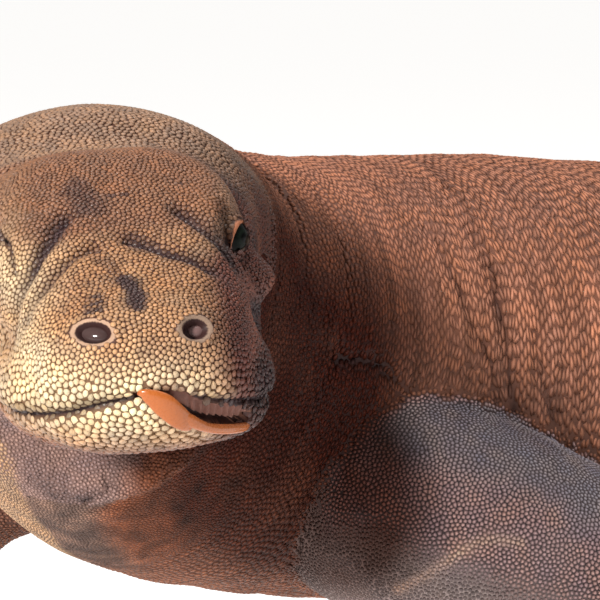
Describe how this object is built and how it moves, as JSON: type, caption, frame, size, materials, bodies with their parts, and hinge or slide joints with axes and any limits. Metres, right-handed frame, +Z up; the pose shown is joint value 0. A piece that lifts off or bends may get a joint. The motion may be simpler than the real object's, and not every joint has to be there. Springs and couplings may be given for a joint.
{
  "type": "komodo dragon",
  "caption": "Life-size komodo dragon standing on all fours, head turned to its left and forked tongue over the lip; a still museum-style model.",
  "frame": {"origin": "on the floor, under the middle of the box round the whole animal", "axes": "+Z up, +Y from the chest towards the tail along the trunk, +X to the animal's left"},
  "size_m": [0.7544, 2.4586, 0.4086],
  "materials": {
    "head_skin": "fine gold and brown beaded scales, slightly glossy",
    "body_skin": "reddish brown beaded scales with fine cross folds",
    "leg_skin": "blue-grey and brown beaded scales",
    "tail_skin": "brown keeled scales in rings",
    "tongue_flesh": "moist orange flesh",
    "eyeball": "wet dark brown eye",
    "claw_horn": "dark smooth horn"
  },
  "bodies": {
    "root": {"head": "head_skin", "lower_jaw": "head_skin", "tongue": "tongue_flesh", "eye_left": "eyeball", "eye_right": "eyeball", "neck": "body_skin", "chest": "body_skin", "belly": "body_skin", "hips": "body_skin", "tail_base": "tail_skin", "tail_middle": "tail_skin", "tail_rear": "tail_skin", "tail_tip": "tail_skin", "upper_arm_left": "leg_skin", "forearm_left": "leg_skin", "hand_left": "leg_skin", "thigh_left": "leg_skin", "shank_left": "leg_skin", "foot_left": "leg_skin", "claw_hand_left_1": "claw_horn", "claw_hand_left_2": "claw_horn", "claw_hand_left_3": "claw_horn", "claw_hand_left_4": "claw_horn", "claw_hand_left_5": "claw_horn", "claw_foot_left_1": "claw_horn", "claw_foot_left_2": "claw_horn", "claw_foot_left_3": "claw_horn", "claw_foot_left_4": "claw_horn", "claw_foot_left_5": "claw_horn", "upper_arm_right": "leg_skin", "forearm_right": "leg_skin", "hand_right": "leg_skin", "thigh_right": "leg_skin", "shank_right": "leg_skin", "foot_right": "leg_skin", "claw_hand_right_1": "claw_horn", "claw_hand_right_2": "claw_horn", "claw_hand_right_3": "claw_horn", "claw_hand_right_4": "claw_horn", "claw_hand_right_5": "claw_horn", "claw_foot_right_1": "claw_horn", "claw_foot_right_2": "claw_horn", "claw_foot_right_3": "claw_horn", "claw_foot_right_4": "claw_horn", "claw_foot_right_5": "claw_horn"}
  },
  "joints": []
}
